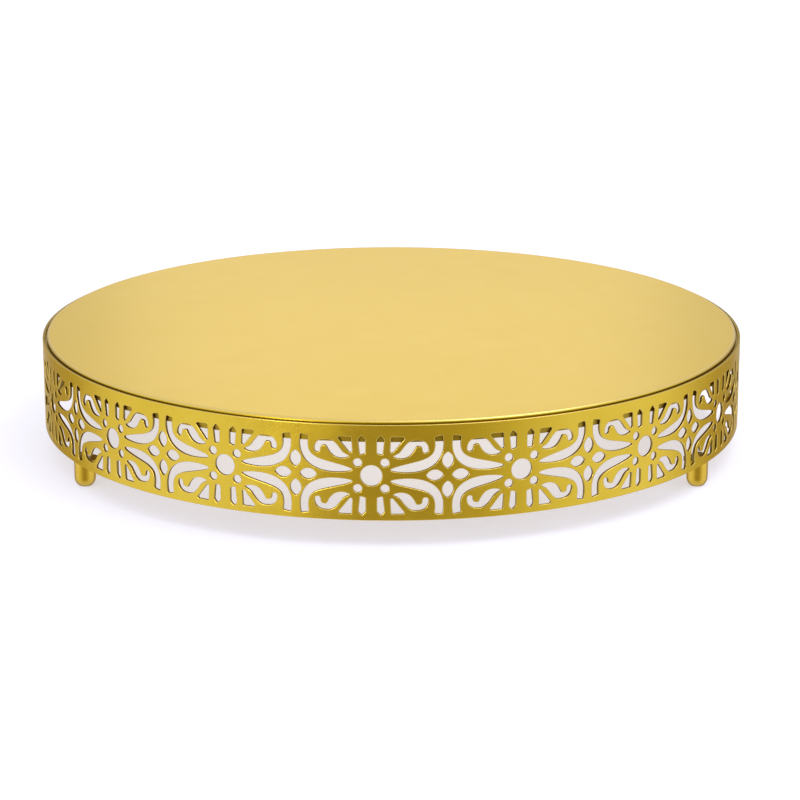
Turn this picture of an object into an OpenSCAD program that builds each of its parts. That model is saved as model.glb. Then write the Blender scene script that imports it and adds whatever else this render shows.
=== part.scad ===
// Round cake stand: a flat plate dropped into a pierced metal skirt that stands on three feet.
// Millimetres, +Z up. The origin is on the table, under the middle of the plate.
// The front is towards -Y, and angles round the stand start there and turn towards +X.

/* [Stand] */
// Height from the table to the top of the plate
stand_h = 60; // [58:0.5:64]

/* [Plate] */
// Diameter of the round plate
plate_d = 355.6; // [353:0.1:356]
// Thickness of the plate's sheet
plate_t = 1.2; // [1:0.1:1.5]
// Depth of the plate's turned-down edge
plate_edge_h = 3; // [2.8:0.1:3.4]
// Outer radius of the bend at the plate's edge
plate_bend_r = 1.8; // [1.7:0.1:2.4]
// How far the plate stands above the skirt's top edge
plate_proud = 1.5; // [1:0.1:2]

/* [Skirt] */
// Outer diameter of the rolled skirt
skirt_d = 360; // [360:0.5:362]
// Thickness of the skirt's sheet
skirt_t = 1.5; // [1.2:0.1:1.5]
// Height of the skirt
skirt_h = 46; // [45:0.5:48]
// Height of the plain strip under the lace
lower_strip_h = 3; // [3:0.1:4]

/* [Lace] */
// Number of medallions round the skirt
medallions = 16; // [16:2:18]
// Angle of the first medallion
lace_turn = 19.7; // [0:0.1:22.5]
// Height of the pierced zone
lace_h = 37.4; // [36:0.1:37.6]
// Radius of the round eye in the middle of a medallion
eye_r = 5; // [4.6:0.1:5.4]
// Radius of the four dots round the eye
dot_r = 2; // [1.6:0.1:2.2]

/* [Support hoop] */
// Width of the ledge that the plate rests on
hoop_ledge = 11; // [8:0.5:14]
// Height of the hoop's leg against the skirt
hoop_leg_h = 7; // [3:0.1:7.5]
// Thickness of the hoop's sheet
hoop_t = 1.2; // [1:0.1:1.5]

/* [Seam straps] */
// Width of the strap behind each seam of the skirt
strap_w = 24; // [16:1:30]
// Height of the strap
strap_h = 3; // [2:0.1:3]
// Thickness of the strap
strap_t = 1.2; // [1:0.1:1.5]

/* [Feet] */
// Distance of the feet from the middle
foot_ring_r = 174.5; // [173:0.5:174.5]
// Diameter of a foot
foot_d = 10.6; // [9:0.1:10.8]
// Diameter of the flat that a foot stands on
foot_flat_d = 6.2; // [5:0.1:7]
// Width of the tongue that carries a foot
tongue_w = 12; // [10:0.5:14]
// Length of the tongue, in from the skirt
tongue_l = 11; // [10:0.5:13]
// Thickness of the tongue
tongue_t = 1.5; // [1.2:0.1:2]

/* [Screws] */
// Radius of the screw's shank
screw_r = 1.5; // [1.5:0.1:1.6]
// Length of the screw under its head
screw_l = 6.5; // [5:0.5:8]
// Radius of the screw's head
head_r = 2.8; // [2.6:0.1:2.9]
// Height of the screw's head
head_h = 1.9; // [1.6:0.1:2.4]
// Radius of the washer
washer_r = 3.2; // [3:0.1:3.4]
// Thickness of the washer
washer_t = 0.5; // [0.4:0.1:0.8]

/* [Hidden] */
$fn = 96;

plate_r = plate_d / 2;
skirt_r = skirt_d / 2;
skirt_in_r = skirt_r - skirt_t;
skirt_top = stand_h - plate_proud;
skirt_bottom = skirt_top - skirt_h;
lace_mid = skirt_bottom + lower_strip_h + lace_h / 2;
hoop_top = stand_h - plate_edge_h;
foot_r = foot_d / 2;
foot_mid = sqrt(pow(foot_r, 2) - pow(foot_flat_d / 2, 2));
tongue_top = skirt_bottom + tongue_t;
head_bottom = tongue_top + washer_t;

left = -60;
right = 60;
back = 180;

pitch = 360 / medallions;
half_pitch_w = PI * skirt_r / medallions;
seam_left = lace_turn - (medallions + 2) / 4 * pitch;
seam_right = seam_left + 180;

tongue_root = 1;
socket_r = 0.9;
socket_depth = 1;
screw_play = 0.5;
// How far a cutter runs past each face of the sheet
cut_margin = 1.5;

// The lace is drawn in millimetres from the middle of a medallion, u along the skirt and
// v upwards, on a sheet of this half width and half height, and stretched to the skirt.
drawn_w = 35.35;
drawn_h = 18.7;
stretch_u = half_pitch_w / drawn_w;
stretch_v = lace_h / 2 / drawn_h;

// ---- Curves ----

// Point of a cubic Bezier curve at t
function bez(p, t) =
    pow(1 - t, 3) * p[0] + 3 * t * pow(1 - t, 2) * p[1]
    + 3 * t * t * (1 - t) * p[2] + pow(t, 3) * p[3];

// Unit vector square to the curve at t, to the left of its way
function bez_left(p, t) =
    let (d = pow(1 - t, 2) * (p[1] - p[0]) + 2 * t * (1 - t) * (p[2] - p[1]) + t * t * (p[3] - p[2]))
    [-d[1], d[0]] / norm(d);

function reversed(v) = [for (i = [len(v) - 1 : -1 : 0]) v[i]];

// ---- Openings in one quarter of a medallion ----
// A name that ends in _at is the u at which the cut through the rolled sheet is square to it

// Dot beside the eye
dot_at = [6.3, 6.2];

// Crescent: a point beside the eye, then out and round to the edge of the lace
crescent = [[8.8, 2.7], [21.2, 3.9], [33.8, 3.9], [31, 18.7]];
crescent_half_w = 1.85;
// Share of its length after which it has its full width
crescent_full = 0.42;
// How much its belly adds to that, and the share of the length at which the belly ends
crescent_belly = 0.55;
crescent_belly_end = 0.75;
crescent_steps = 6;
crescent_at = 20;
function crescent_swell(t) =
    crescent_half_w * sqrt(sin(90 * min(1, t / crescent_full)))
    + crescent_belly * sin(180 * min(1, t / crescent_belly_end));
function crescent_side(s) = [for (i = [0 : crescent_steps]) let (t = i / crescent_steps)
    bez(crescent, t) + s * crescent_swell(t) * bez_left(crescent, t)];
crescent_outline = concat(crescent_side(1),
    reversed([for (i = [1 : crescent_steps]) crescent_side(-1)[i]]));

// Hook: a point above the crescent, an arm that swells, and a round end turned back under it
hook_arm = [[10.4, 9.2], [18, 9], [17, 15.5], [21.2, 15.5]];
hook_turn = [[21.2, 15.5], [23.8, 15.5], [25, 14.4], [25, 12]];
hook_arm_steps = 6;
hook_turn_steps = 3;
hook_round_steps = 4;
hook_half_w = 1.35;
hook_swell = 1;
// How blunt the point is, and the share of the arm after which it has its full width
hook_blunt = 0.04;
hook_full = 0.35;
hook_at = 18;
function hook_arm_half_w(t) =
    hook_half_w * sqrt(min(1, hook_blunt + t / hook_full)) + hook_swell * sin(180 * t);
function hook_side(s) = concat(
    [for (i = [0 : hook_arm_steps - 1]) let (t = i / hook_arm_steps)
        bez(hook_arm, t) + s * hook_arm_half_w(t) * bez_left(hook_arm, t)],
    [for (i = [0 : hook_turn_steps]) let (t = i / hook_turn_steps)
        bez(hook_turn, t) + s * hook_half_w * bez_left(hook_turn, t)]);
hook_round = [for (i = [1 : hook_round_steps - 1]) let (a = i * 180 / hook_round_steps)
    hook_turn[3] + hook_half_w * [cos(a), -sin(a)]];
hook_outline = concat(hook_side(1), hook_round, reversed(hook_side(-1)));

// Rays: two above the eye, the inner one with a pointed tip and the outer one leaning out
inner_ray = [[2.7, 10.6], [5.2, 10], [6, 17.4], [4.5, 19.2], [2.7, 17.4]];
inner_ray_at = 4;
outer_ray = [[8.8, 11.2], [9.8, 10.9], [15.3, 17.8], [14.7, 18.5], [9.2, 18.5]];
outer_ray_at = 11;

// Petal of the four-petalled star between two medallions, pointing up from the star's middle
petal_near = 2.1;
petal_far = 9.9;
petal_half_w = 2.6;
petal_steps = 12;
petal_mid = (petal_near + petal_far) / 2;
petal_half_l = (petal_far - petal_near) / 2;
petal = [for (i = [0 : petal_steps - 1]) let (a = i * 360 / petal_steps)
    [petal_half_w * sin(a) * sqrt(abs(sin(a))), petal_mid + petal_half_l * cos(a)]];
// How much further out the star's upper and lower petals stand than its side ones
petal_lift = 1;

// ---- Skirt ----

// Opening through the sheet, cut square to it at u = at
module pierce(outline, at) {
    rotate([0, 0, at / drawn_w * pitch / 2])
        translate([0, cut_margin - skirt_in_r, lace_mid])
            rotate([90, 0, 0])
                linear_extrude(skirt_t + 2 * cut_margin)
                    polygon([for (p = outline) [(p[0] - at) * stretch_u, p[1] * stretch_v]]);
}

// Round opening through the sheet
module drill(r, u, v) {
    rotate([0, 0, u / drawn_w * pitch / 2])
        translate([0, cut_margin - skirt_in_r, lace_mid + v * stretch_v])
            rotate([90, 0, 0])
                cylinder(r = r, h = skirt_t + 2 * cut_margin);
}

// One outline in all four quarters of a medallion
module quarters(outline, at) {
    for (su = [-1, 1], sv = [-1, 1])
        pierce([for (p = outline) [su * p[0], sv * p[1]]], su * at);
}

module medallion() {
    drill(eye_r, 0, 0);
    for (su = [-1, 1], sv = [-1, 1])
        drill(dot_r, su * dot_at[0], sv * dot_at[1]);
    quarters(crescent_outline, crescent_at);
    quarters(hook_outline, hook_at);
    quarters(inner_ray, inner_ray_at);
    quarters(outer_ray, outer_ray_at);
    for (su = [-1, 1])
        pierce([for (p = petal) [su * (drawn_w - p[1]), p[0]]], su * (drawn_w - petal_mid));
}

// The upper and lower petals of the star, which stand on the line between two medallions
module upright_petals() {
    for (sv = [-1, 1])
        pierce([for (p = petal) [p[0], sv * (p[1] + petal_lift)]], 0);
}

// Half of the skirt, from the seam at this angle
module skirt_half(seam) {
    difference() {
        rotate([0, 0, seam - 90])
            rotate_extrude(angle = 180)
                translate([skirt_in_r, skirt_bottom])
                    square([skirt_t, skirt_h]);
        for (i = [0 : medallions / 2 - 1])
            rotate([0, 0, seam + (i + 0.5) * pitch])
                medallion();
        for (i = [0 : medallions / 2])
            rotate([0, 0, seam + i * pitch])
                upright_petals();
    }
}

module skirt_front() {
    color("goldenrod")
        skirt_half(seam_left);
}

module skirt_back() {
    color("darkgoldenrod")
        skirt_half(seam_right);
}

// Strap inside the lower strip, across a seam
module seam_strap(seam) {
    turn = strap_w / skirt_in_r * 180 / PI;
    color("khaki")
        rotate([0, 0, seam - 90 - turn / 2])
            rotate_extrude(angle = turn)
                translate([skirt_in_r - strap_t, skirt_bottom])
                    square([strap_t, strap_h]);
}

// ---- Plate and the hoop that it rests on ----

module top_plate() {
    bend = [plate_r - plate_bend_r, stand_h - plate_bend_r];
    color("gold")
        rotate_extrude() {
            translate([0, stand_h - plate_t])
                square([bend[0], plate_t]);
            translate([plate_r - plate_t, hoop_top])
                square([plate_t, plate_edge_h - plate_bend_r]);
            intersection() {
                translate(bend)
                    difference() {
                        circle(plate_bend_r);
                        circle(plate_bend_r - plate_t);
                    }
                translate(bend)
                    square(plate_bend_r);
            }
        }
}

module support_hoop() {
    color("peru")
        rotate_extrude() {
            translate([skirt_in_r - hoop_ledge, hoop_top - hoop_t])
                square([hoop_ledge, hoop_t]);
            translate([skirt_in_r - hoop_t, hoop_top - hoop_leg_h])
                square([hoop_t, hoop_leg_h]);
        }
}

// ---- Feet ----

// Puts a piece drawn on the Z axis on the ring of the feet
module at_foot(angle) {
    rotate([0, 0, angle])
        translate([0, -foot_ring_r, 0])
            children();
}

// Tongue welded inside the skirt's lower edge, with a round inner end and the screw's hole.
// It is drawn longer at its root, and the skirt's inner face trims it.
module foot_tongue(angle) {
    end_r = tongue_w / 2;
    straight_l = tongue_l + tongue_root - end_r;
    color("tan")
        difference() {
            intersection() {
                rotate([0, 0, angle])
                    translate([0, -skirt_in_r - tongue_root, skirt_bottom])
                        linear_extrude(tongue_t) {
                            translate([-end_r, 0])
                                square([tongue_w, straight_l]);
                            translate([0, straight_l])
                                circle(end_r);
                        }
                cylinder(r = skirt_in_r, h = stand_h);
            }
            at_foot(angle)
                cylinder(r = screw_r, h = stand_h);
        }
}

module foot_washer(angle) {
    color("silver")
        at_foot(angle)
            translate([0, 0, tongue_top])
                difference() {
                    cylinder(r = washer_r, h = washer_t);
                    translate([0, 0, -washer_t])
                        cylinder(r = screw_r, h = 3 * washer_t);
                }
}

module foot_screw(angle) {
    color("lightgray")
        at_foot(angle)
            translate([0, 0, head_bottom])
                difference() {
                    union() {
                        cylinder(r = head_r, h = head_h);
                        translate([0, 0, -screw_l])
                            cylinder(r = screw_r, h = screw_l + head_h / 2);
                    }
                    translate([0, 0, head_h - socket_depth])
                        cylinder(r = socket_r, h = 2 * socket_depth, $fn = 6);
                }
}

// Foot: straight above, domed below, with a small flat to stand on
module foot(angle) {
    color("orange")
        at_foot(angle)
            difference() {
                rotate_extrude() {
                    translate([0, foot_mid])
                        square([foot_r, skirt_bottom - foot_mid]);
                    intersection() {
                        translate([0, foot_mid])
                            circle(foot_r);
                        square([foot_r, foot_mid]);
                    }
                }
                translate([0, 0, head_bottom - screw_l - screw_play])
                    cylinder(r = screw_r, h = stand_h);
            }
}

top_plate();
support_hoop();
skirt_front();
skirt_back();
seam_strap(seam_left);  // seam_strap_left
seam_strap(seam_right);  // seam_strap_right
foot_tongue(left);  // foot_tongue_left
foot_tongue(right);  // foot_tongue_right
foot_tongue(back);  // foot_tongue_back
foot_washer(left);  // foot_washer_left
foot_washer(right);  // foot_washer_right
foot_washer(back);  // foot_washer_back
foot_screw(left);  // foot_screw_left
foot_screw(right);  // foot_screw_right
foot_screw(back);  // foot_screw_back
foot(left);  // foot_left
foot(right);  // foot_right
foot(back);  // foot_back
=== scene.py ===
"""Looks of the round cake stand: a gold lacquered plate, pierced skirt and feet, in a white studio."""

import math

import bpy
import numpy as np
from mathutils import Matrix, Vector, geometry


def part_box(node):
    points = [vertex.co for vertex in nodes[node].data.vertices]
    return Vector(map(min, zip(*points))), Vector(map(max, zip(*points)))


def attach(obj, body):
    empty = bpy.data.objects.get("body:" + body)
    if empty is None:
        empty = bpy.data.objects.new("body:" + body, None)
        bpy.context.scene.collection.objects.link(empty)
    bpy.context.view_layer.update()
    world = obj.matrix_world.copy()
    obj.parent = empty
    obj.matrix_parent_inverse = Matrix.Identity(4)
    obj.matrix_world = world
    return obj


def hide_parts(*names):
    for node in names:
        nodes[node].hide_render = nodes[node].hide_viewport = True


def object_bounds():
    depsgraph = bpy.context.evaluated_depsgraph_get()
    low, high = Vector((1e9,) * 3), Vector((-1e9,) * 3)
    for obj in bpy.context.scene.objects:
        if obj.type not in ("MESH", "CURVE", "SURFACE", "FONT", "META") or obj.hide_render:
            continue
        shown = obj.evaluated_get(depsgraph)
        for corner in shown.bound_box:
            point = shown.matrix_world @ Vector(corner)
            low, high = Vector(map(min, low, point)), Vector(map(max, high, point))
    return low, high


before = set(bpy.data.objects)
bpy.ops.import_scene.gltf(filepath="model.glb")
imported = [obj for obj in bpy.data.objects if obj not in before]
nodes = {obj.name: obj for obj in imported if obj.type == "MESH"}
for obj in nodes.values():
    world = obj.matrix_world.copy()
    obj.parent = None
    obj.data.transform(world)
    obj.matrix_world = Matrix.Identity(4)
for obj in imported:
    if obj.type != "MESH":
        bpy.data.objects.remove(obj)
cad_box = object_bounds()

MM = 0.001

# ---- Sizes, in millimetres ----

STAND_R = cad_box[1][0] / MM
SKIRT_T = 1.5
SKIRT_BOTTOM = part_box("skirt_front")[0][2] / MM
SKIRT_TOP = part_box("skirt_front")[1][2] / MM
PLATE_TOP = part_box("top_plate")[1][2] / MM
PLATE_EDGE_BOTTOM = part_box("top_plate")[0][2] / MM
PLATE_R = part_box("top_plate")[1][1] / MM

MEDALLIONS = 16
# How far a medallion's middle is turned from the front
LACE_TURN = math.radians(19.7)
LACE_H = 37.4
LOWER_STRIP_H = 3.0
LACE_MID = SKIRT_BOTTOM + LOWER_STRIP_H + LACE_H / 2
PITCH = 2 * math.pi / MEDALLIONS
SEAM_LEFT = LACE_TURN - (MEDALLIONS + 2) / 4 * PITCH
SEAM_RIGHT = SEAM_LEFT + math.pi

# The lace is drawn from the middle of a medallion, u along the skirt and v upwards, to half its
# width and half its height, and then stretched to the stand
DRAWN_W = 35.35
DRAWN_H = 18.7
STRETCH = np.array([PITCH * STAND_R / 2 / DRAWN_W, LACE_H / 2 / DRAWN_H])

EYE_R = 5.0
DOT_R = 2.0
DOT_AT = (6.3, 6.2)
CRESCENT = np.array([(8.8, 2.7), (21.2, 3.9), (33.8, 3.9), (31.0, 18.7)])
CRESCENT_HALF_W = 1.85
# Share of the crescent's length over which its point widens
CRESCENT_FULL = 0.42
# How much wider the crescent's middle is, and the share of its length where that ends
CRESCENT_BELLY = 0.55
CRESCENT_BELLY_END = 0.75
CRESCENT_ROUND = 0.6
HOOK_ARM = np.array([(10.4, 9.2), (18.0, 9.0), (17.0, 15.5), (21.2, 15.5)])
HOOK_TURN = np.array([(21.2, 15.5), (23.8, 15.5), (25.0, 14.4), (25.0, 12.0)])
HOOK_HALF_W = 1.35
HOOK_SWELL = 1.0
# How blunt the hook's point is, and the share of the arm over which it widens
HOOK_BLUNT = 0.04
HOOK_FULL = 0.35
INNER_RAY = [(2.7, 10.6), (5.2, 10.0), (6.0, 17.4), (4.5, 19.2), (2.7, 17.4)]
OUTER_RAY = [(8.8, 11.2), (9.8, 10.9), (15.3, 17.8), (14.7, 18.5), (9.2, 18.5)]
RAY_ROUND = 0.5
RAY_STEP = 1.5
# A petal's two ends from the middle of its star, and how much further out the upright ones stand
PETAL_NEAR = 2.1
PETAL_FAR = 9.9
PETAL_HALF_W = 2.6
PETAL_LIFT = 1.0

# Radius of the sheet's edges at the openings and rims
EDGE_ROUND = 0.4
# Spacing of the points spread over the metal, and how far they stay from an edge
GRID_STEP = 2.4
GRID_CLEAR = 0.7


# ---- Light of the studio ----

# Colour of the studio's wall by its angle from the front, in degrees
WALL_LIGHT = [
    (0, (0.37, 0.32, 0.24)),
    (25, (0.47, 0.41, 0.32)),
    (42, (0.74, 0.72, 0.72)),
    (60, (0.97, 1.0, 1.4)),
    (100, (0.97, 0.98, 1.3)),
    (120, (0.53, 0.46, 0.34)),
    (145, (0.46, 0.4, 0.3)),
    (165, (0.7, 0.68, 0.7)),
    (180, (0.79, 0.77, 0.79)),
]
CEILING_LIGHT = 0.95
FLOOR_PAINT = (0.52, 0.53, 0.61)
FLOOR_GLOW = (0.52, 0.515, 0.57)


# ---- Outlines of the openings ----


def bezier(p, t):
    """Points of a cubic Bezier curve."""
    t = np.asarray(t)[:, None]
    return (1 - t) ** 3 * p[0] + 3 * t * (1 - t) ** 2 * p[1] + 3 * t**2 * (1 - t) * p[2] + t**3 * p[3]


def bezier_left(p, t):
    """Unit vectors square to the curve, to the left of its way."""
    t = np.asarray(t)[:, None]
    d = (1 - t) ** 2 * (p[1] - p[0]) + 2 * t * (1 - t) * (p[2] - p[1]) + t**2 * (p[3] - p[2])
    d /= np.linalg.norm(d, axis=1)[:, None]
    return np.stack([-d[:, 1], d[:, 0]], 1)


def stroke(p, t, half_w):
    """Both sides of a brush stroke along a curve."""
    middle = bezier(p, t)
    side = half_w[:, None] * bezier_left(p, t)
    return middle + side, middle - side


def rounded(points, radius, sharp=math.radians(25), steps=3):
    """A closed outline with the corners that turn by more than sharp rounded."""
    most_of_edge = 0.45
    points = np.asarray(points, float)
    made = []
    for i, corner in enumerate(points):
        back = points[i - 1] - corner
        ahead = points[(i + 1) % len(points)] - corner
        back_l = np.linalg.norm(back)
        ahead_l = np.linalg.norm(ahead)
        turn = math.pi - math.acos(np.clip(back @ ahead / (back_l * ahead_l), -1, 1))
        if turn < sharp:
            made.append(corner)
            continue
        reach = min(radius, most_of_edge * back_l, most_of_edge * ahead_l)
        start = corner + back / back_l * reach
        end = corner + ahead / ahead_l * reach
        for s in np.linspace(0, 1, steps + 1):
            made.append((1 - s) ** 2 * start + 2 * s * (1 - s) * corner + s**2 * end)
    return np.array(made)


def split_long(points, longest):
    """A closed outline with its long edges split."""
    made = []
    for i, a in enumerate(points):
        b = points[(i + 1) % len(points)]
        parts = max(1, math.ceil(np.linalg.norm(b - a) / longest))
        made += [a + (b - a) * k / parts for k in range(parts)]
    return np.array(made)


def round_outline(r, centre, count):
    """Round opening."""
    turn = np.arange(count) / count * 2 * math.pi
    return np.stack([np.cos(turn), np.sin(turn)], 1) * r + centre


def crescent_outline():
    """Long curved opening, pointed beside the eye and cut square at the lace's edge."""
    crowding = 1.3
    t = np.linspace(0, 1, 25) ** crowding
    swell = CRESCENT_HALF_W * np.sqrt(np.sin(math.pi / 2 * np.minimum(1, t / CRESCENT_FULL)))
    swell += CRESCENT_BELLY * np.sin(math.pi * np.minimum(1, t / CRESCENT_BELLY_END))
    left, right = stroke(CRESCENT, t, swell)
    return rounded(np.concatenate([left, right[:0:-1]]), CRESCENT_ROUND, math.radians(60))


def hook_outline():
    """An arm that swells from a blunt point, and a turn with a round end."""
    t = np.linspace(0, 1, 15)[:-1]
    swell = HOOK_HALF_W * np.sqrt(np.minimum(1, HOOK_BLUNT + t / HOOK_FULL))
    swell += HOOK_SWELL * np.sin(math.pi * t)
    arm_left, arm_right = stroke(HOOK_ARM, t, swell)
    t = np.linspace(0, 1, 7)
    turn_left, turn_right = stroke(HOOK_TURN, t, np.full(len(t), HOOK_HALF_W))
    turn = np.linspace(0, math.pi, 8)[1:-1]
    end = HOOK_TURN[3] + HOOK_HALF_W * np.stack([np.cos(turn), -np.sin(turn)], 1)
    return np.concatenate([arm_left, turn_left, end, turn_right[::-1], arm_right[::-1]])


def petal_outline():
    """Upright pointed oval above the middle of a star."""
    turn = np.arange(22) / 22 * 2 * math.pi
    across = PETAL_HALF_W * np.sin(turn) * np.sqrt(np.abs(np.sin(turn)))
    along = (PETAL_NEAR + PETAL_FAR) / 2 + (PETAL_FAR - PETAL_NEAR) / 2 * np.cos(turn)
    return np.stack([across, along], 1)


def four_ways(outline):
    """The outline in each quarter of the medallion."""
    return [outline * (su, sv) for su in (-1, 1) for sv in (-1, 1)]


def medallion_outlines():
    """The openings of one medallion, and the level petals that the stars at its sides turn to it."""
    made = [round_outline(EYE_R, (0, 0), 40)]
    made += four_ways(round_outline(DOT_R, DOT_AT, 16))
    made += four_ways(crescent_outline())
    made += four_ways(hook_outline())
    made += four_ways(split_long(rounded(INNER_RAY, RAY_ROUND), RAY_STEP))
    made += four_ways(split_long(rounded(OUTER_RAY, RAY_ROUND), RAY_STEP))
    petal = petal_outline()
    made += [np.stack([s * (DRAWN_W - petal[:, 1]), petal[:, 0]], 1) for s in (-1, 1)]
    return made


def turned(outline, ccw):
    """The outline, going round the way that is asked for."""
    x, y = outline[:, 0], outline[:, 1]
    area = np.sum(x * np.roll(y, -1) - np.roll(x, -1) * y)
    return outline if (area > 0) == ccw else outline[::-1]


def half_strip_loops():
    """Every edge loop of half the skirt laid flat, with the metal on the left of its way."""
    width = 2 * DRAWN_W
    count = MEDALLIONS // 2
    medallion = medallion_outlines()
    holes = [o + ((i + 0.5) * width, 0) for i in range(count) for o in medallion]
    petal = petal_outline() + (0, PETAL_LIFT)
    lower = petal * (1, -1)
    holes += [p + (i * width, 0) for i in range(1, count) for p in (petal, lower)]
    loops = [turned(h * STRETCH, False) for h in holes]

    # Each end of the strip is cut through the middle of a star's upright petals
    half = len(petal) // 2
    bulge = petal[: half + 1] * (-1, 1)
    end = np.concatenate([bulge * (1, -1), bulge[::-1]]) * STRETCH
    length = count * width * STRETCH[0]
    low = SKIRT_BOTTOM - LACE_MID
    high = SKIRT_TOP - LACE_MID
    right = end + (length, 0)
    left = (end * (-1, 1))[::-1]
    rim = np.concatenate([[(0, low), (length, low)], right, [(length, high), (0, high)], left])
    return [split_long(turned(rim, True), GRID_STEP)] + loops


def away_from_metal(loop):
    """Vectors that move a loop's points square to its edges by 1, out of the metal."""
    least_spread = 0.7
    ahead = np.roll(loop, -1, 0) - loop
    ahead /= np.linalg.norm(ahead, axis=1)[:, None]
    out = np.stack([ahead[:, 1], -ahead[:, 0]], 1)
    both = out + np.roll(out, 1, 0)
    both /= np.linalg.norm(both, axis=1)[:, None]
    spread = np.sum(both * out, 1)
    return both / np.maximum(spread, least_spread)[:, None]


def inside(points, loop):
    """Which points are inside a closed loop."""
    x = points[:, 0][:, None]
    y = points[:, 1][:, None]
    x0, y0 = loop.T
    x1 = np.roll(x0, -1)
    y1 = np.roll(y0, -1)
    rise = np.where(y1 == y0, 1e-12, y1 - y0)
    crosses = ((y0 > y) != (y1 > y)) & (x < (x1 - x0) * (y - y0) / rise + x0)
    return crosses.sum(1) % 2 == 1


def grid_points(loops):
    """Points spread over the metal, clear of every edge, so that the bent sheet stays round."""
    low = loops[0].min(0)
    high = loops[0].max(0)
    u = np.arange(low[0] + GRID_STEP, high[0] - GRID_CLEAR, GRID_STEP)
    v = np.arange(low[1] + GRID_STEP, high[1] - GRID_CLEAR, GRID_STEP)
    points = np.stack(np.meshgrid(u, v), -1).reshape(-1, 2)
    keep = inside(points, loops[0])
    for loop in loops:
        box_low = loop.min(0) - GRID_CLEAR
        box_high = loop.max(0) + GRID_CLEAR
        near = keep & np.all((points > box_low) & (points < box_high), 1)
        if not near.any():
            continue
        which = np.flatnonzero(near)
        gap = np.linalg.norm(points[which][:, None] - loop[None], axis=2).min(1)
        bad = gap < GRID_CLEAR
        if loop is not loops[0]:
            bad |= inside(points[which], loop)
        keep[which[bad]] = False
    return points[keep]


# ---- Meshes ----


def link(mesh, name):
    """A new object in the scene."""
    piece = bpy.data.objects.new(name, mesh)
    bpy.context.scene.collection.objects.link(piece)
    return piece


def ring_numbers(loops):
    """The numbers of each loop's points, counted on from loop to loop."""
    ends = np.cumsum([len(loop) for loop in loops])
    return [np.arange(end - len(loop), end) for loop, end in zip(loops, ends)]


def metal_triangles(flat, insets, rings):
    """Triangles over the flat metal that the outlines bound."""
    owner = np.full(len(flat), -1)
    edges = []
    for k, ring in enumerate(rings):
        owner[ring] = k
        edges += list(zip(ring.tolist(), np.roll(ring, -1).tolist()))
    verts, _, faces, origin, _, _ = geometry.delaunay_2d_cdt(
        [tuple(p) for p in flat], edges, [], 1, 1e-6
    )
    assert len(verts) == len(flat), "the skirt's outlines cross"
    back_to = np.array([o[0] for o in origin])
    tris = back_to[np.array(faces)]

    # A triangle with all its corners on one outline can lie in an opening or beyond the rim
    same = (owner[tris[:, 0]] == owner[tris[:, 1]]) & (owner[tris[:, 1]] == owner[tris[:, 2]])
    keep = np.ones(len(tris), bool)
    for k, inset in enumerate(insets):
        which = np.flatnonzero(same & (owner[tris[:, 0]] == k))
        within = inside(flat[tris[which]].mean(1), inset)
        keep[which] = within if k == 0 else ~within
    return tris[keep]


def sheet_levels(flat, edge, out):
    """Levels of points from the outer face to the inner one: points, normals, wear, and cut-wall brown
    with painted shade, of each.
    """
    unit = out / np.linalg.norm(out, axis=1)[:, None]
    lean = math.radians(45)
    reach = EDGE_ROUND * math.sin(lean)
    sunk = EDGE_ROUND * (1 - math.cos(lean))
    level = math.pi / 2
    # Points, depth, the normal's lean into the opening, side of the sheet, wear, and the cut walls' brown
    # that also paints shade on them
    steps = [
        (flat, 0, 0, 1, 0, 0),
        (edge + out * reach, sunk, lean, 1, 1, 0),
        (edge + out * EDGE_ROUND, EDGE_ROUND, level, 1, 0.3, 0.7),
        (edge + out * EDGE_ROUND, SKIRT_T - EDGE_ROUND, level, -1, 0, 1),
        (edge + out * reach, SKIRT_T - sunk, lean, -1, 0.5, 0.3),
        (flat, SKIRT_T, 0, -1, 0, 0),
    ]
    made = []
    for points, depth, tilt, side, wear_and_highlight, cut in steps:
        n = len(points)
        ways = np.zeros((n, 2)) if tilt == 0 else unit * math.sin(tilt)
        normals = np.concatenate([ways, np.full((n, 1), side * math.cos(tilt))], 1)
        spots = np.concatenate([points, np.full((n, 1), depth)], 1)
        made.append((spots, normals, np.full(n, wear_and_highlight), np.full(n, cut)))
    return made


def sheet_data():
    """Half the skirt laid flat: points as (u, v, depth), normals, faces, and each point's wear and
    cut-wall brown with painted shade.
    """
    loops = half_strip_loops()
    rings = ring_numbers(loops)
    outs = [away_from_metal(loop) for loop in loops]
    insets = [loop - EDGE_ROUND * out for loop, out in zip(loops, outs)]
    flat = np.concatenate(insets + [grid_points(insets)])
    out = np.concatenate(outs)
    levels = sheet_levels(flat, flat[: len(out)], out)
    starts = np.cumsum([0] + [len(level[0]) for level in levels[:-1]])

    quads = []
    for a, b in zip(starts[:-1], starts[1:]):
        for ring in rings:
            ahead = np.roll(ring, -1)
            quads.append(np.stack([ring + a, ring + b, ahead + b, ahead + a], 1))
    tris = metal_triangles(flat, insets, rings)
    faces = np.concatenate(quads).tolist()
    faces += tris.tolist()
    faces += (tris[:, ::-1] + starts[-1]).tolist()
    points, normals, wear_and_highlight, cut = (np.concatenate(c) for c in zip(*levels))
    return points, normals, faces, wear_and_highlight, cut


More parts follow.
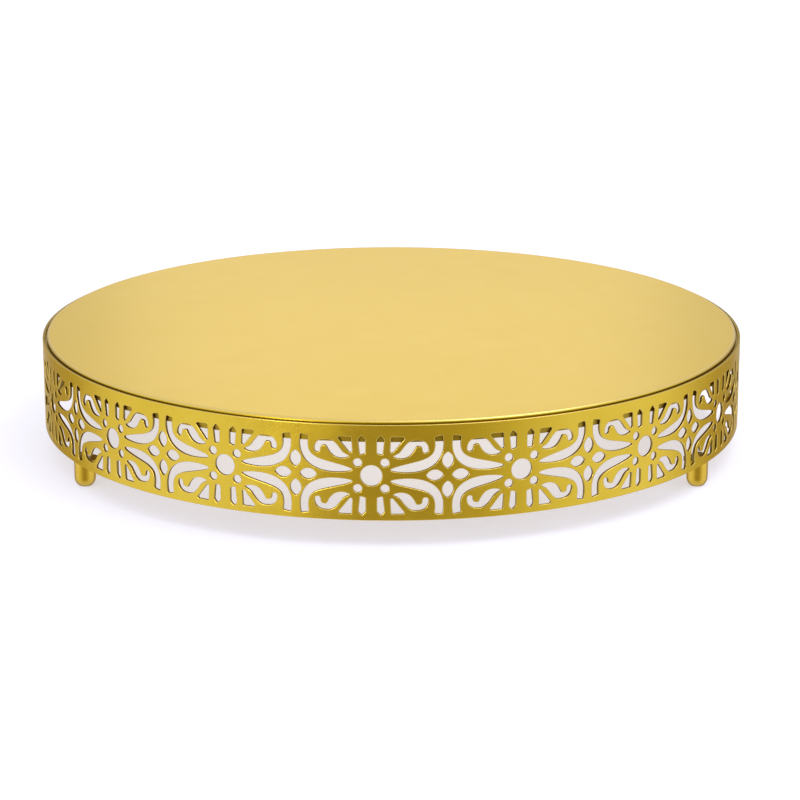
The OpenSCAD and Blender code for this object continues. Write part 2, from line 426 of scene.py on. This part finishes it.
def skirt_mesh(name, data, seam):
    """Rolls the flat sheet round the stand from the seam's angle."""
    points, normals, faces, wear_and_highlight, cut = data
    turn = seam + points[:, 0] / STAND_R
    away = np.stack([np.sin(turn), -np.cos(turn), np.zeros(len(turn))], 1)
    along = np.stack([np.cos(turn), np.sin(turn), np.zeros(len(turn))], 1)
    up = np.array([0, 0, 1.0])
    spots = away * (STAND_R - points[:, 2])[:, None]
    spots[:, 2] = LACE_MID + points[:, 1]
    normal = along * normals[:, :1] + up * normals[:, 1:2] + away * normals[:, 2:]
    mesh = bpy.data.meshes.new(name)
    mesh.from_pydata((spots * MM).tolist(), [], faces)
    mesh.shade_smooth()
    # Edge wear, and the cut walls' brown, which also paints shade on the walls
    for label, values in (("wear_and_highlight", wear_and_highlight), ("cut", cut)):
        mesh.attributes.new(label, "FLOAT", "POINT").data.foreach_set("value", values.astype(np.float32))
    mesh.normals_split_custom_set_from_vertices(normal.tolist())
    return mesh


def lathe(name, profile, segments):
    """Turns a profile of (radius, height) points round +Z, with the metal on the right of its way."""
    sharp = math.radians(50)
    turns = np.arange(segments) / segments * 2 * math.pi
    verts = []
    rows = []
    for r, z in profile:
        if r == 0:
            rows.append([len(verts)] * segments)
            verts.append((0, 0, z * MM))
            continue
        rows.append(list(range(len(verts), len(verts) + segments)))
        verts += [(r * MM * math.sin(a), -r * MM * math.cos(a), z * MM) for a in turns]
    faces = []
    for a, b in zip(rows[:-1], rows[1:]):
        for i in range(segments):
            j = (i + 1) % segments
            face = [a[i], b[i], b[j], a[j]]
            # At the axis two of the corners are one point
            faces.append([v for k, v in enumerate(face) if v != face[k - 1]])
    mesh = bpy.data.meshes.new(name)
    mesh.from_pydata(verts, [], faces)
    mesh.validate()
    mesh.shade_smooth()
    mesh.set_sharp_from_angle(angle=sharp)
    mesh.update()
    return mesh


def paint(mesh, label, share):
    """Writes an attribute from a rule of each point's radius and height, in millimetres."""
    values = [share(math.hypot(v.co.x, v.co.y) / MM, v.co.z / MM) for v in mesh.vertices]
    mesh.attributes.new(label, "FLOAT", "POINT").data.foreach_set("value", values)


def arc(centre, r, start, end, steps):
    """Points of an arc in a profile. Angles in degrees, 0 outwards and 90 up."""
    turns = np.radians(np.linspace(start, end, steps + 1))
    return [(centre[0] + r * math.cos(a), centre[1] + r * math.sin(a)) for a in turns]


# ---- Materials ----

# Most values of a noise texture lie between these
NOISE_LOW = 0.3
NOISE_HIGH = 0.7

# Brown of cut edges, also used as painted shade: on the skirt's walls, below the plate's bend and at the
# feet's bottoms
CUT_AND_SHADE_BROWN = (0.1, 0.05, 0.006)
# A pale colour, for wear and for painted highlights, keeps this much of its own and gains this much
# paleness
PALE_KEEPS = 0.55
PALE_GAINS = 0.42
WEAR_AND_HIGHLIGHT_SHARE = 0.3


def add(tree, kind, **values):
    """A node with its sockets and settings given by name."""
    node = tree.nodes.new(kind)
    for key, value in values.items():
        if key in node.inputs:
            node.inputs[key].default_value = value
        else:
            setattr(node, key, value)
    return node


def mix_colour(tree, factor, a, b):
    """A colour mix: a and b are colours or sockets."""
    mix = tree.nodes.new("ShaderNodeMix")
    mix.data_type = "RGBA"
    tree.links.new(factor, mix.inputs[0])
    # The node's colours are its inputs 6 and 7 and its output 2
    for socket, value in ((mix.inputs[6], a), (mix.inputs[7], b)):
        if isinstance(value, tuple):
            socket.default_value = (*value, 1)
        else:
            tree.links.new(value, socket)
    return mix.outputs[2]


def noise(tree, coords, scale, detail, lows, highs):
    """Noise, spread from lows to highs."""
    made = add(tree, "ShaderNodeTexNoise", Scale=scale, Detail=detail)
    tree.links.new(coords, made.inputs["Vector"])
    spread = tree.nodes.new("ShaderNodeMapRange")
    spread.inputs["From Min"].default_value = NOISE_LOW
    spread.inputs["From Max"].default_value = NOISE_HIGH
    spread.inputs["To Min"].default_value = lows
    spread.inputs["To Max"].default_value = highs
    tree.links.new(made.outputs["Fac"], spread.inputs["Value"])
    return spread.outputs["Result"]


def lacquer_tone(tree, coords, colour, deep, patchy):
    """Colour that drifts and is speckled towards deep, pale where it is worn or has a painted highlight,
    and brown on cut walls and where shade is painted.
    """
    drift = noise(tree, coords, scale=14, detail=3, lows=0, highs=patchy)
    tone = mix_colour(tree, drift, colour, deep)
    speck = noise(tree, coords, scale=420, detail=4, lows=0, highs=0.35 * patchy)
    tone = mix_colour(tree, speck, tone, deep)
    # Pale where worn, and as a painted highlight on the plate's bend
    wear_and_highlight = add(tree, "ShaderNodeAttribute", attribute_name="wear_and_highlight").outputs["Fac"]
    pale_share = add(tree, "ShaderNodeMath", operation="MULTIPLY")
    pale_share.inputs[1].default_value = WEAR_AND_HIGHLIGHT_SHARE
    tree.links.new(wear_and_highlight, pale_share.inputs[0])
    pale_tone = tuple(min(1, PALE_KEEPS * c + PALE_GAINS) for c in colour)
    tone = mix_colour(tree, pale_share.outputs[0], tone, pale_tone)
    # Brown on cut walls, and painted shade on the walls, below the plate's bend and at the feet's bottoms
    cut = add(tree, "ShaderNodeAttribute", attribute_name="cut").outputs["Fac"]
    return mix_colour(tree, cut, tone, CUT_AND_SHADE_BROWN)


def gold_lacquer(name, colour, deep, rough, coat, grain, patchy=1.0, glance=(1, 1, 1)):
    """Gold lacquer on iron with a fine grain. Glance tints it where it is seen at a low angle."""
    material = bpy.data.materials.new(name)
    material.use_nodes = True
    tree = material.node_tree
    shader = tree.nodes["Principled BSDF"]
    coords = tree.nodes.new("ShaderNodeTexCoord").outputs["Object"]
    tree.links.new(lacquer_tone(tree, coords, colour, deep, patchy), shader.inputs["Base Color"])

    vary = 0.05 * patchy
    shine = noise(tree, coords, scale=60, detail=4, lows=rough - vary, highs=rough + vary)
    tree.links.new(shine, shader.inputs["Roughness"])
    peel = add(tree, "ShaderNodeTexNoise", Scale=900, Detail=2)
    tree.links.new(coords, peel.inputs["Vector"])
    bump = add(tree, "ShaderNodeBump", Strength=grain, Distance=0.0002)
    tree.links.new(peel.outputs["Fac"], bump.inputs["Height"])
    tree.links.new(bump.outputs["Normal"], shader.inputs["Normal"])
    shader.inputs["Metallic"].default_value = 1
    shader.inputs["Specular Tint"].default_value = (*glance, 1)
    shader.inputs["Coat Weight"].default_value = coat
    shader.inputs["Coat Roughness"].default_value = 0.2
    return material


def zinc(name):
    """Plain zinc plated steel, a little mottled."""
    material = bpy.data.materials.new(name)
    material.use_nodes = True
    tree = material.node_tree
    shader = tree.nodes["Principled BSDF"]
    coords = tree.nodes.new("ShaderNodeTexCoord").outputs["Object"]
    mottle = noise(tree, coords, scale=300, detail=3, lows=0, highs=1)
    tone = mix_colour(tree, mottle, (0.66, 0.66, 0.64), (0.5, 0.5, 0.5))
    tree.links.new(tone, shader.inputs["Base Color"])
    shine = noise(tree, coords, scale=700, detail=2, lows=0.28, highs=0.42)
    tree.links.new(shine, shader.inputs["Roughness"])
    shader.inputs["Metallic"].default_value = 1
    return material


plate_gold = gold_lacquer(
    "plate_gold",
    (0.73, 0.5, 0.012),
    (0.69, 0.46, 0.01),
    rough=0.34,
    coat=0.12,
    grain=0.05,
    patchy=0.25,
)
skirt_gold = gold_lacquer(
    "skirt_gold",
    (0.82, 0.59, 0.05),
    (0.70, 0.48, 0.02),
    rough=0.28,
    coat=0.25,
    grain=0.2,
    glance=(1, 0.88, 0.5),
)
# A darker copy of the gold: painted shade for the parts inside the skirt
inner_gold = gold_lacquer(
    "inner_gold",
    (0.45, 0.31, 0.02),
    (0.34, 0.22, 0.012),
    rough=0.42,
    coat=0.15,
    grain=0.25,
)
foot_gold = gold_lacquer(
    "foot_gold",
    (0.82, 0.55, 0.03),
    (0.68, 0.43, 0.01),
    rough=0.24,
    coat=0.6,
    grain=0.15,
)
screw_steel = zinc("screw_steel")


# ---- Pieces ----

REPLACED = ("top_plate", "skirt_front", "skirt_back", "foot_left", "foot_right", "foot_back")


def place(mesh, name, node, material):
    """A piece that stands for a CAD node."""
    piece = link(mesh, name)
    piece.data.materials.append(material)
    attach(piece, "root")
    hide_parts(node)
    return piece


def even_normals(piece):
    """Keeps broad faces flat to the eye beside narrow rounded edges."""
    modifier = piece.modifiers.new("even_normals", "WEIGHTED_NORMAL")
    modifier.keep_sharp = True


def make_skirt():
    """The two halves of the lace."""
    data = sheet_data()
    for name, seam in (("skirt_front", SEAM_LEFT), ("skirt_back", SEAM_RIGHT)):
        place(skirt_mesh(name + "_lace", data, seam), name + "_lace", name, skirt_gold)


def make_plate():
    """Flat sheet with its edge turned down round a bend, with a painted highlight on the bend and painted
    shade below it.
    """
    bend = 1.5
    sheet = 1.2
    lip = 0.4
    profile = [(r, PLATE_TOP) for r in (0, 30, 60, 90, 120, 150, 170)]
    profile += arc((PLATE_R - bend, PLATE_TOP - bend), bend, 90, 0, 8)
    profile += arc((PLATE_R - lip, PLATE_EDGE_BOTTOM + lip), lip, 0, -90, 3)
    profile += arc((PLATE_R - sheet + lip, PLATE_EDGE_BOTTOM + lip), lip, -90, -180, 3)
    profile += arc((PLATE_R - sheet - lip, PLATE_TOP - sheet - lip), lip, 0, 90, 4)
    profile += [(r, PLATE_TOP - sheet) for r in (160, 120, 80, 40, 0)]
    mesh = lathe("top_plate_pan", profile, 256)

    # A painted highlight on the bend, and painted shade on the edge's side below it, where the gap to the
    # skirt is
    highlight_r = PLATE_R - bend
    highlight_z = PLATE_TOP - 0.5 * bend
    bend_highlight = 1.3
    shade_r = PLATE_R - 0.1
    shade_z = PLATE_TOP - 0.8 * bend
    painted_shade = 0.6
    paint(mesh, "wear_and_highlight", lambda r, z: bend_highlight * (highlight_z < z < PLATE_TOP and r > highlight_r))
    paint(mesh, "cut", lambda r, z: painted_shade * (z < shade_z and r > shade_r))
    even_normals(place(mesh, "top_plate_pan", "top_plate", plate_gold))


def make_feet():
    """Round feet, domed below, each with a blind hole for its screw."""
    radius = 5.3
    flat_r = 3.1
    flat_round = 0.3
    rim_round = 0.4
    bore_r = 1.5
    bore_bottom = 7.5
    shade_h = 5
    painted_shade = 0.45
    dome_z = math.sqrt(radius**2 - flat_r**2)
    dome_start = 2 - math.degrees(math.acos(flat_r / radius))
    for side in ("left", "right", "back"):
        low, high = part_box("foot_" + side)
        top = (high[2] - low[2]) / MM
        profile = [(0, 0), (flat_r - flat_round, 0)]
        profile += arc((0, dome_z), radius, dome_start, 0, 14)
        profile += arc((radius - rim_round, top - rim_round), rim_round, 0, 90, 4)
        profile += [(bore_r, top), (bore_r, bore_bottom), (0, bore_bottom)]
        name = "foot_%s_dome" % side
        mesh = lathe(name, profile[::-1], 64)
        # Painted shade, darker towards the floor
        paint(mesh, "cut", lambda r, z: painted_shade * max(0, 1 - z / shade_h))
        for v in mesh.vertices:
            v.co.x += (low[0] + high[0]) / 2
            v.co.y += (low[1] + high[1]) / 2
        even_normals(place(mesh, name, "foot_" + side, foot_gold))


def finish_cad_nodes():
    """Gives the CAD nodes that stay their materials."""
    for name, node in nodes.items():
        if name in REPLACED:
            continue
        steel = "screw" in name or "washer" in name
        node.data.materials.clear()
        # The parts inside get the darker gold as painted shade; screws and washers get zinc
        node.data.materials.append(screw_steel if steel else inner_gold)


# ---- Studio ----


def make_floor():
    """A pale glowing floor, so that the shadow on it stays light. The metal reflects the wall instead."""
    reach = 30
    corners = [(-reach, -reach, 0), (reach, -reach, 0), (reach, reach, 0), (-reach, reach, 0)]
    mesh = bpy.data.meshes.new("floor")
    mesh.from_pydata(corners, [], [(0, 1, 2, 3)])
    floor = link(mesh, "floor")
    material = bpy.data.materials.new("floor_white")
    material.use_nodes = True
    shader = material.node_tree.nodes["Principled BSDF"]
    shader.inputs["Base Color"].default_value = (*FLOOR_PAINT, 1)
    shader.inputs["Roughness"].default_value = 1
    shader.inputs["Specular IOR Level"].default_value = 0
    shader.inputs["Emission Color"].default_value = (*FLOOR_GLOW, 1)
    shader.inputs["Emission Strength"].default_value = 1
    floor.data.materials.append(material)
    floor.visible_glossy = False


def make_world():
    """A wall lit by WALL_LIGHT that turns into an even ceiling. The camera sees plain white."""
    ceiling_from = 0.6
    world = bpy.data.worlds.new("studio")
    bpy.context.scene.world = world
    world.use_nodes = True
    tree = world.node_tree
    tree.nodes.clear()
    way = tree.nodes.new("ShaderNodeTexCoord").outputs["Generated"]
    split = tree.nodes.new("ShaderNodeSeparateXYZ")
    tree.links.new(way, split.inputs[0])
    across = tree.nodes.new("ShaderNodeMapRange")
    across.inputs["From Min"].default_value = -1
    tree.links.new(split.outputs["Y"], across.inputs["Value"])
    wall = tree.nodes.new("ShaderNodeValToRGB")
    tree.links.new(across.outputs[0], wall.inputs[0])
    stops = wall.color_ramp.elements
    while len(stops) < len(WALL_LIGHT):
        stops.new(0.5)
    for stop, (azimuth, light) in zip(stops, WALL_LIGHT):
        stop.position = (1 - math.cos(math.radians(azimuth))) / 2
        stop.color = (*light, 1)
    height = tree.nodes.new("ShaderNodeMapRange")
    height.interpolation_type = "SMOOTHSTEP"
    height.inputs["From Min"].default_value = 0
    height.inputs["From Max"].default_value = ceiling_from
    tree.links.new(split.outputs["Z"], height.inputs["Value"])
    room = tree.nodes.new("ShaderNodeBackground")
    ceiling = (CEILING_LIGHT, CEILING_LIGHT, CEILING_LIGHT)
    tree.links.new(mix_colour(tree, height.outputs[0], wall.outputs[0], ceiling), room.inputs["Color"])
    white = tree.nodes.new("ShaderNodeBackground")
    white.inputs["Color"].default_value = (1, 1, 1, 1)
    ray = tree.nodes.new("ShaderNodeLightPath")
    mix = tree.nodes.new("ShaderNodeMixShader")
    tree.links.new(ray.outputs["Is Camera Ray"], mix.inputs[0])
    tree.links.new(room.outputs[0], mix.inputs[1])
    tree.links.new(white.outputs[0], mix.inputs[2])
    out = tree.nodes.new("ShaderNodeOutputWorld")
    tree.links.new(mix.outputs[0], out.inputs["Surface"])


def softbox(name, location, size, power, aim=(0, 0, 0.03)):
    """A rectangular lamp that shines towards aim."""
    light = bpy.data.lights.new(name, "AREA")
    light.shape = "RECTANGLE"
    light.size, light.size_y = size
    light.energy = power
    lamp = bpy.data.objects.new(name, light)
    bpy.context.scene.collection.objects.link(lamp)
    lamp.location = location
    way = np.array(aim) - np.array(location)
    yaw = math.atan2(way[1], way[0]) - math.pi / 2
    tilt = math.pi / 2 + math.atan2(way[2], math.hypot(way[0], way[1]))
    lamp.rotation_euler = (tilt, 0, yaw)
    lamp.visible_camera = False


def make_lights():
    """Soft lamps above, at the left and behind, and a weak one under the plate."""
    softbox("box_top", (0.6, -0.4, 1.3), (0.9, 0.9), 6)
    softbox("box_left", (-0.6, -1.05, 0.2), (0.3, 0.5), 3)
    softbox("box_back", (0, 0.95, 0.42), (0.5, 0.25), 0.24)
    softbox("box_under", (0, 0, 0.055), (0.22, 0.22), 0.04, (0, 0, 0))


def make_camera():
    """A long lens in front of the stand and a little above it."""
    distance = 1.4
    elevation = math.radians(16.17)
    side = 0.0044
    aim_height = 0.0183
    data = bpy.data.cameras.new("camera")
    data.lens = 120.2
    data.sensor_width = 36
    camera = bpy.data.objects.new("camera", data)
    bpy.context.scene.collection.objects.link(camera)
    camera.location = (side, -distance * math.cos(elevation), aim_height + distance * math.sin(elevation))
    camera.rotation_euler = (math.pi / 2 - elevation, 0, 0)
    bpy.context.scene.camera = camera


make_skirt()
make_plate()
make_feet()
finish_cad_nodes()
make_floor()
make_world()
make_lights()
make_camera()
bpy.context.scene.view_settings.view_transform = "Standard"
